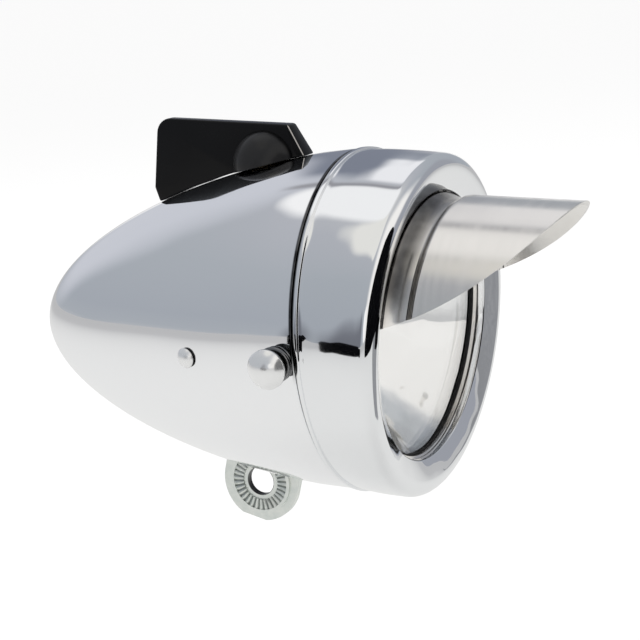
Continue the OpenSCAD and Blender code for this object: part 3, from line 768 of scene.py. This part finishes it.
# The gap between the shell and the wing's foot, and the steps at which it is another one
FOOT_GAP = 0.08
OTHER_GAPS = {3: 0.2, 4: 0.2, 5: 0.1, 6: 0.2, 7: 0.22, 8: 0.18}
wing_foot = []
for k in range(FOOT_STEPS + 1):
    a, b = skin_point(SWITCH_BACK + WING_BACK - (WING_BACK + WING_FRONT) * k / FOOT_STEPS)
    wing_foot.append((a, b + OTHER_GAPS.get(k, FOOT_GAP)))
heel = (wing_foot[0][0] - 0.5, wing_foot[0][1] + HEEL_H)
peak = (heel[0] + (WING_H - heel[1]) * math.tan(math.radians(18)), WING_H)
brow = (wing_foot[-1][0] - 2.4, BROW_H)
wing_outline = soften(
    [(a, b, 0) for a, b in wing_foot] + [(*brow, 1.0), (*peak, 3.6), (*heel, 0.8)], 8, closed=True)
wing = prism("wing", wing_outline, 2 * FOOT_HALF)
bpy.ops.object.mode_set(mode="EDIT")
mesh = bmesh.from_edit_mesh(wing.data)
for vert in mesh.verts:
    half = FOOT_HALF - TOP_THINNER * vert.co.z / WING_H
    vert.co.y = math.copysign(half, vert.co.y)
bmesh.update_edit_mesh(wing.data)
bpy.ops.object.mode_set(mode="OBJECT")
modify(wing, "BEVEL", width=0.45, segments=3, limit_method="ANGLE", angle_limit=math.radians(35))
hub_skirt = [(0, 0.3), (7.2, 0.3), (7.4, 0.0), (8.1, 0.0), (8.28, 0.15)]
hub = lathe("hub", hub_skirt + arc((0, 0), HUB_R, 6, 87, 27) + [(0, HUB_R)], 96)
carve(wing, hub, "UNION")
carve(wing, rod("pocket_tool", POCKET_R, -2, 1.5, 64))
carve(wing, rod("spindle_tool", SPINDLE_HOLE_R, -2, 5.1, 48))
smooth(wing, 30)
# A painted highlight: a pale line along the crease where the wing's front face meets its right side
corner = Vector((brow[0], 0, brow[1]))
toward_front = Vector((corner.z - wing_foot[-1][1], 0, wing_foot[-1][0] - corner.x)).normalized()
toward_side = Vector((0, -1, TOP_THINNER / WING_H)).normalized()
crease_highlight = []
for facing_out, reach in (
        (toward_front, toward_front.dot(corner)), (toward_side, FOOT_HALF * -toward_side.y)):
    outward = SWITCH.to_3x3() @ facing_out
    surface_at = outward.dot(SEAM + SWITCH.translation) + reach
    crease_highlight.append((tuple(outward), (surface_at - 0.27) * MM, (surface_at - 0.2) * MM))
tint_where(knob_plastic, (0.55, 0.52, 0.49), *crease_highlight)
place(wing, SWITCH)
dressed(wing, "knob", "switch_knob", knob_plastic)
wing.name = "wing_knob"

# Release button, its collar and the spring's rivet
COLLAR_LOW = ogive(LATCH_BACK - 4.0) + 0.05
COLLAR_TOP = COLLAR_LOW + 0.9
COLLAR_FOOT = COLLAR_TOP - 2.2
COLLAR_BORE_R = 2.26
HEAD_LOW = COLLAR_TOP + 2.3
HEAD_R = 4.4
STEM_R = 2.2
SHANK_R = 1.5
SHANK_LEN = 3.2
RIVET_HEAD_R = 2.3
RIVET_R = 1.3
stem_low = bore(LATCH_BACK + 3.2) - 0.3
shank_low = stem_low - SHANK_LEN


def domed(radius, low, edge, height, steps=14):
    """Half a profile of a domed head: flat under, a rounded edge, then a low dome."""
    rise = height - edge
    ball = (radius ** 2 + rise ** 2) / (2 * rise)
    path = [(radius - 0.3, low), (radius - 0.09, low + 0.09), (radius, low + 0.3), (radius, low + edge)]
    for k in range(1, steps + 1):
        angle = math.asin(radius / ball) * (1 - k / steps)
        path.append((ball * math.sin(angle), low + height - ball + ball * math.cos(angle)))
    return path


button = lathe(
    "button", [(0, shank_low), (SHANK_R, shank_low), (SHANK_R, stem_low), (STEM_R, stem_low)]
    + [(STEM_R, HEAD_LOW)] + domed(HEAD_R, HEAD_LOW, 0.9, 3.0), 96)
smooth(button)
place(button, LATCH)
# Painted shade at the head's lower edge and below it
under_head = tuple(LATCH_AXIS.to_3x3() @ Vector((0, 0, -1)))
head_at = -(LATCH_AXIS.inverted() @ SEAM).z - HEAD_LOW
tint_where(button_chrome, (0.012, 0.012, 0.012), (under_head, (head_at - 0.75) * MM, (head_at - 0.3) * MM))
dressed(button, "latch", "latch_button", button_chrome)

collar = lathe(
    "collar", [(COLLAR_BORE_R, COLLAR_FOOT), (3.0, COLLAR_FOOT), (3.0, COLLAR_LOW), (3.95, COLLAR_LOW),
               (4.0, COLLAR_LOW + 0.1), (4.0, COLLAR_LOW + 0.45), (3.9, COLLAR_LOW + 0.7),
               (3.65, COLLAR_LOW + 0.86), (3.4, COLLAR_TOP), (2.5, COLLAR_TOP), (2.32, COLLAR_TOP - 0.07),
               (COLLAR_BORE_R, COLLAR_TOP - 0.2), (COLLAR_BORE_R, COLLAR_FOOT)], 96, close=True)
smooth(collar)
place(collar, LATCH)
dressed(collar, "body", "latch_collar", collar_shaded_chrome)

rivet = lathe(
    "rivet", [(0, -2.4), (RIVET_HEAD_R, -2.4), (RIVET_HEAD_R, -1.75), (RIVET_R, -1.75), (RIVET_R, 0.1)]
    + domed(RIVET_HEAD_R, 0.1, 0.35, 1.5), 72)
smooth(rivet)
place(rivet, RIVET)
# Painted shade at the head's lower edge and below it
rivet_down = RIVET.to_3x3() @ Vector((0, 0, -1))
rivet_at = rivet_down.dot(SEAM + RIVET.translation)
tint_where(
    rivet_chrome, (0.02, 0.02, 0.02), (tuple(rivet_down), (rivet_at - 0.55) * MM, (rivet_at - 0.35) * MM))
dressed(rivet, "body", "latch_rivet", rivet_chrome)

# Leaf spring: the imported leaf, merged and cut across along its length
LEAF_CUTS = 14
FIRST_CUT_BACK = 8
CUTS_SPREAD = 18
leaf = bpy.data.objects.new("leaf", nodes["latch_spring"].data.copy())
bpy.context.scene.collection.objects.link(leaf)
only(leaf)
bpy.ops.object.mode_set(mode="EDIT")
bpy.ops.mesh.select_all(action="SELECT")
bpy.ops.mesh.remove_doubles(threshold=0.000002)
for k in range(LEAF_CUTS):
    cut_at = HOLE_BACK - FIRST_CUT_BACK - CUTS_SPREAD * k / (LEAF_CUTS - 1)
    bpy.ops.mesh.select_all(action="SELECT")
    bpy.ops.mesh.bisect(plane_co=(cut_at * MM, 0, 0), plane_no=(1, 0, 0))
bpy.ops.mesh.select_all(action="SELECT")
bpy.ops.mesh.normals_make_consistent(inside=False)
bpy.ops.object.mode_set(mode="OBJECT")
smooth(leaf)
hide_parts("latch_spring")


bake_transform(leaf)


# Studio: pale floor, soft light, and what polished metal sees round it
def metal_or_glass(tree, path):
    """1 for a ray that metal or glass sends on, else 0."""
    return joined(tree, "MAXIMUM", path.outputs["Is Glossy Ray"], path.outputs["Is Transmission Ray"])


def outside_lens(tree, path):
    """1 for a ray that has passed no glass, else 0."""
    test = tree.nodes.new("ShaderNodeMath")
    test.operation = "LESS_THAN"
    test.inputs[1].default_value = 0.5
    tree.links.new(path.outputs["Transmission Depth"], test.inputs[0])
    return test.outputs[0]


def either_shader(tree, amount, first, second):
    mix = tree.nodes.new("ShaderNodeMixShader")
    tree.links.new(amount, mix.inputs[0])
    tree.links.new(first, mix.inputs[1])
    tree.links.new(second, mix.inputs[2])
    return mix.outputs[0]


# Floor: what metal and glass show of it fades from a faint cream to grey
FLOOR_Z = -0.075
FLOOR_SIZE = 60
floor_white = finish("floor_white", (0.8, 0.8, 0.8), 0.9)
tree = floor_white.node_tree
shader = tree.nodes["Principled BSDF"]
shader.inputs["Specular IOR Level"].default_value = 0.0
shader.inputs["Emission Color"].default_value = (1, 1, 1, 1)
path = tree.nodes.new("ShaderNodeLightPath")
glow = tree.nodes.new("ShaderNodeMath")
glow.operation = "MULTIPLY"
glow.inputs[1].default_value = 0.32
tree.links.new(path.outputs["Is Camera Ray"], glow.inputs[0])
tree.links.new(glow.outputs[0], shader.inputs["Emission Strength"])
where = tree.nodes.new("ShaderNodeTexCoord")
far = tree.nodes.new("ShaderNodeVectorMath")
far.operation = "LENGTH"
tree.links.new(where.outputs["Object"], far.inputs[0])
fade = tree.nodes.new("ShaderNodeMapRange")
fade.inputs["From Min"].default_value = 0.12
fade.inputs["From Max"].default_value = 1.6
tree.links.new(far.outputs["Value"], fade.inputs["Value"])
floor_ramp = tree.nodes.new("ShaderNodeValToRGB")
floor_ramp.color_ramp.elements[0].color = (0.905, 0.905, 0.89, 1)
floor_ramp.color_ramp.elements[1].color = (0.64, 0.64, 0.645, 1)
tree.links.new(fade.outputs["Result"], floor_ramp.inputs["Fac"])
mirrored = tree.nodes.new("ShaderNodeBsdfDiffuse")
tree.links.new(floor_ramp.outputs["Color"], mirrored.inputs["Color"])
floor_surface = either_shader(tree, metal_or_glass(tree, path), shader.outputs[0], mirrored.outputs[0])
tree.links.new(floor_surface, tree.nodes["Material Output"].inputs["Surface"])
deselect()
bpy.ops.mesh.primitive_plane_add(size=FLOOR_SIZE, location=(0, 0, FLOOR_Z))
plane = named("floor")
bpy.ops.object.transform_apply(location=True, rotation=True, scale=True)
plane.data.materials.append(floor_white)

# Sky that metal and glass show, shaded by height, with patches whose edges waver a little
world = bpy.data.worlds.new("studio")
bpy.context.scene.world = world
world.use_nodes = True
tree = world.node_tree
tree.nodes.clear()
out = tree.nodes.new("ShaderNodeOutputWorld")
path = tree.nodes.new("ShaderNodeLightPath")
where = tree.nodes.new("ShaderNodeTexCoord")
wobble = tree.nodes.new("ShaderNodeTexNoise")
wobble.inputs["Scale"].default_value = 2.6
wobble.inputs["Detail"].default_value = 0.5
tree.links.new(where.outputs["Generated"], wobble.inputs["Vector"])
from_middle = tree.nodes.new("ShaderNodeVectorMath")
from_middle.operation = "SUBTRACT"
from_middle.inputs[1].default_value = (0.5, 0.5, 0.5)
tree.links.new(wobble.outputs["Color"], from_middle.inputs[0])
wavy = tree.nodes.new("ShaderNodeVectorMath")
wavy.operation = "MULTIPLY_ADD"
wavy.inputs[1].default_value = (0.07, 0.07, 0.07)
tree.links.new(from_middle.outputs[0], wavy.inputs[0])
tree.links.new(where.outputs["Generated"], wavy.inputs[2])
parts = tree.nodes.new("ShaderNodeSeparateXYZ")
tree.links.new(wavy.outputs[0], parts.inputs[0])
height = tree.nodes.new("ShaderNodeMapRange")
height.inputs["From Min"].default_value = -1
height.inputs["From Max"].default_value = 1
tree.links.new(parts.outputs["Z"], height.inputs["Value"])
ramp = tree.nodes.new("ShaderNodeValToRGB")


def linear(level):
    """A colour as the picture shows it, turned to the value that a shader takes."""
    return [c ** 2.2 for c in level]


# Colour at each elevation in degrees
stops = [
    (-90, (0.96, 0.96, 0.96)), (-14, (0.90, 0.90, 0.90)), (-5, (0.77, 0.77, 0.78)),
    (1, (0.66, 0.68, 0.705)), (8, (0.645, 0.665, 0.695)), (35, (0.665, 0.685, 0.71)),
    (57, (0.70, 0.71, 0.735)), (75, (0.76, 0.765, 0.775)), (90, (0.85, 0.85, 0.85)),
]
ramp.color_ramp.elements.remove(ramp.color_ramp.elements[0])
for k, (elevation, colour) in enumerate(stops):
    position = (math.sin(math.radians(elevation)) + 1) / 2
    stop = ramp.color_ramp.elements[0] if k == 0 else ramp.color_ramp.elements.new(position)
    stop.position = position
    stop.color = (*linear(colour), 1)
tree.links.new(height.outputs["Result"], ramp.inputs["Fac"])


def toward(azimuth, elevation):
    a = math.radians(azimuth)
    e = math.radians(elevation)
    return Vector((math.cos(e) * math.cos(a), math.cos(e) * math.sin(a), math.sin(e)))


def soft_patch(below, azimuth, elevation, full, none, level):
    """A round patch of light or shade in what the metal sees, full inside one angle, gone at the other."""
    facing = tree.nodes.new("ShaderNodeVectorMath")
    facing.operation = "DOT_PRODUCT"
    facing.inputs[1].default_value = toward(azimuth, elevation)
    tree.links.new(wavy.outputs[0], facing.inputs[0])
    amount = soft_step(
        tree, facing.outputs["Value"], math.cos(math.radians(none)), math.cos(math.radians(full)))
    return tinted(tree, amount, below, linear(level))


def shade_where(below, limits, level):
    """Light or shade where each direction component is past its limits, unseen through glass."""
    amount = unseen_by_lens
    for component, none, full in limits:
        amount = joined(tree, "MULTIPLY", amount, soft_step(tree, parts.outputs[component], none, full))
    return tinted(tree, amount, below, linear(level))


unseen_by_lens = outside_lens(tree, path)
sky = ramp.outputs["Color"]
for patch in (
        (143, 27, 14, 33, (0.79, 0.80, 0.83)), (165, 74, 14, 20, (0.97, 0.97, 0.97)),
        (-108, 68, 13, 18, (0.915, 0.91, 0.89)), (-107, 3, 3, 15, (0.45, 0.46, 0.49)),
        (-73, 12, 9, 12, (1.0, 1.0, 1.0)),
        (115, -4, 7, 20, (1.0, 1.0, 1.0)), (-15, 5, 48, 68, (0.98, 0.97, 0.955))):
    sky = soft_patch(sky, *patch)
for limits, level in (
        ((("X", 0.15, 0.35), ("Y", -0.15, 0.1), ("Z", 0.5, 0.3)), (0.62, 0.63, 0.66)),
        ((("X", -0.56, -0.46), ("X", -0.30, -0.38), ("Y", 0.42, 0.58), ("Z", -0.1, 0.1)), (0.50, 0.52, 0.57)),
        ((("X", -0.38, -0.33), ("X", -0.1, -0.2), ("Y", 0.40, 0.48), ("Y", 0.84, 0.76), ("Z", 0.35, 0.45)),
         (0.95, 0.95, 0.96)),
        ((("Y", 0.30, 0.35), ("Y", 0.41, 0.36), ("Z", 0.7, 0.8), ("X", -0.1, -0.2), ("X", -0.62, -0.52)),
         (0.60, 0.60, 0.62))):
    sky = shade_where(sky, limits, level)
behind = tree.nodes.new("ShaderNodeBackground")
behind.inputs["Color"].default_value = (1, 1, 1, 1)
around = tree.nodes.new("ShaderNodeBackground")
tree.links.new(sky, around.inputs["Color"])
soft = tree.nodes.new("ShaderNodeBackground")
soft.inputs["Color"].default_value = (0.80, 0.80, 0.80, 1)
unseen_sky = either_shader(tree, metal_or_glass(tree, path), soft.outputs[0], around.outputs[0])
whole_sky = either_shader(tree, path.outputs["Is Camera Ray"], unseen_sky, behind.outputs[0])
tree.links.new(whole_sky, out.inputs[0])


def facing_lamp(azimuth, elevation, distance):
    direction = toward(azimuth, elevation)
    matrix = direction.to_track_quat("Z", "Y").to_matrix().to_4x4()
    return Matrix.Translation(SEAM * MM + direction * distance) @ matrix


def soft_lamp(name, azimuth, elevation, distance, size, power):
    deselect()
    bpy.ops.object.light_add(type="AREA")
    lamp = bpy.context.object
    lamp.name = name
    lamp.data.size = size
    lamp.data.energy = power
    lamp.matrix_world = facing_lamp(azimuth, elevation, distance)
    lamp.visible_glossy = False
    return lamp


soft_lamp("key", 150, 62, 1.2, 1.0, 2.2)
soft_lamp("fill", -110, 35, 1.4, 1.0, 1.0)

# Black and grey cards that the bright metal mirrors, absent for a ray that has passed glass
card_black = finish("card_black", (0.004, 0.004, 0.005), 1.0)
card_grey = moulded("card_grey", (0.30, 0.305, 0.32), (0.36, 0.365, 0.38), 1.0, 30)
for card_material in (card_black, card_grey):
    tree = card_material.node_tree
    shader = tree.nodes["Principled BSDF"]
    shader.inputs["Specular IOR Level"].default_value = 0.0
    path = tree.nodes.new("ShaderNodeLightPath")
    absent = tree.nodes.new("ShaderNodeBsdfTransparent")
    shown = either_shader(tree, outside_lens(tree, path), absent.outputs[0], shader.outputs[0])
    tree.links.new(shown, tree.nodes["Material Output"].inputs["Surface"])


def card(name, material, corners):
    """A card with its corners, in millimetres from the seam, round a middle point."""
    deselect()
    bpy.ops.mesh.primitive_circle_add(vertices=len(corners), radius=1, fill_type="TRIFAN")
    piece = named(name)
    bpy.ops.object.mode_set(mode="EDIT")
    mesh = bmesh.from_edit_mesh(piece.data)
    mesh.verts.ensure_lookup_table()
    rim = [vert for vert in mesh.verts if vert.co.length > 0.5]
    middle = sum((Vector(corner) for corner in corners), Vector()) / len(corners)
    for vert in mesh.verts:
        if vert not in rim:
            vert.co = (SEAM + middle) * MM
    for vert, corner in zip(rim, corners):
        vert.co = (SEAM + Vector(corner)) * MM
    bmesh.update_edit_mesh(piece.data)
    bpy.ops.object.mode_set(mode="OBJECT")
    piece.data.materials.append(material)
    piece.visible_camera = False
    piece.visible_diffuse = False
    piece.visible_shadow = False


CARD_AWAY = 300


def seen(start, directions):
    """Corners that lie in the given directions, in degrees, from a point on the metal."""
    return [Vector(start) + toward(azimuth, elevation) * CARD_AWAY for azimuth, elevation in directions]


card("low_card", card_black, seen((8, -39, -2), [
    (-121.2, -5.2), (-120.8, 1.8), (-119.5, 3.0), (-117, 2.2), (-113, 2.8), (-109, 2.2), (-105.5, 0.4),
    (-101, -0.2), (-96, -0.8), (-94.5, -4), (-96.5, -6.8), (-102, -7.4), (-107, -5.8), (-112, -6.4),
    (-116, -5.6), (-120, -6.2)]))
card("front_card", card_black, seen((18, -32, 10), [
    (-61, -13), (-63, -4), (-62, 5), (-60, 12), (-56, 19), (-50, 26), (-42, 33), (-33, 38), (-25, 42),
    (-16, 44), (-5, 41), (8, 33), (20, 18), (24, 2), (24, -14), (5, -14), (-30, -14)]))
card("near_card", card_black, [
    (80, -14, 30), (78, 6, 29), (70, 18, 23), (58, 29, 15), (45, 36, 8), (44, 30, -18), (79, -8, -18)])
card("front_floor", card_grey, [
    (150, 0, -113), (160, 90, -113), (190, 180, -113), (240, 300, -113), (420, 560, -113), (900, 1500, -113),
    (2500, 1500, -113), (2500, 0, -113)])

# Camera at the photograph's angle
PICTURE = 640
CAMERA_AWAY = 416.67
camera_data = bpy.data.cameras.new("camera")
camera_data.sensor_width = 36
camera_data.lens = 101.25
camera_data.shift_x = -50.9 / PICTURE
camera_data.shift_y = -1.5 / PICTURE
camera_data.clip_start = 0.01
camera = bpy.data.objects.new("camera", camera_data)
bpy.context.scene.collection.objects.link(camera)
right = Vector((0.90485, 0.41715, -0.08505))
up = Vector((-0.00847, 0.21737, 0.97605))
back = Vector((0.42565, -0.88246, 0.20022))
turn = Matrix((right, up, back)).transposed().to_4x4()
camera.matrix_world = Matrix.Translation((SEAM + back * CAMERA_AWAY) * MM) @ turn
bpy.context.scene.camera = camera
bpy.context.scene.view_settings.view_transform = "Standard"
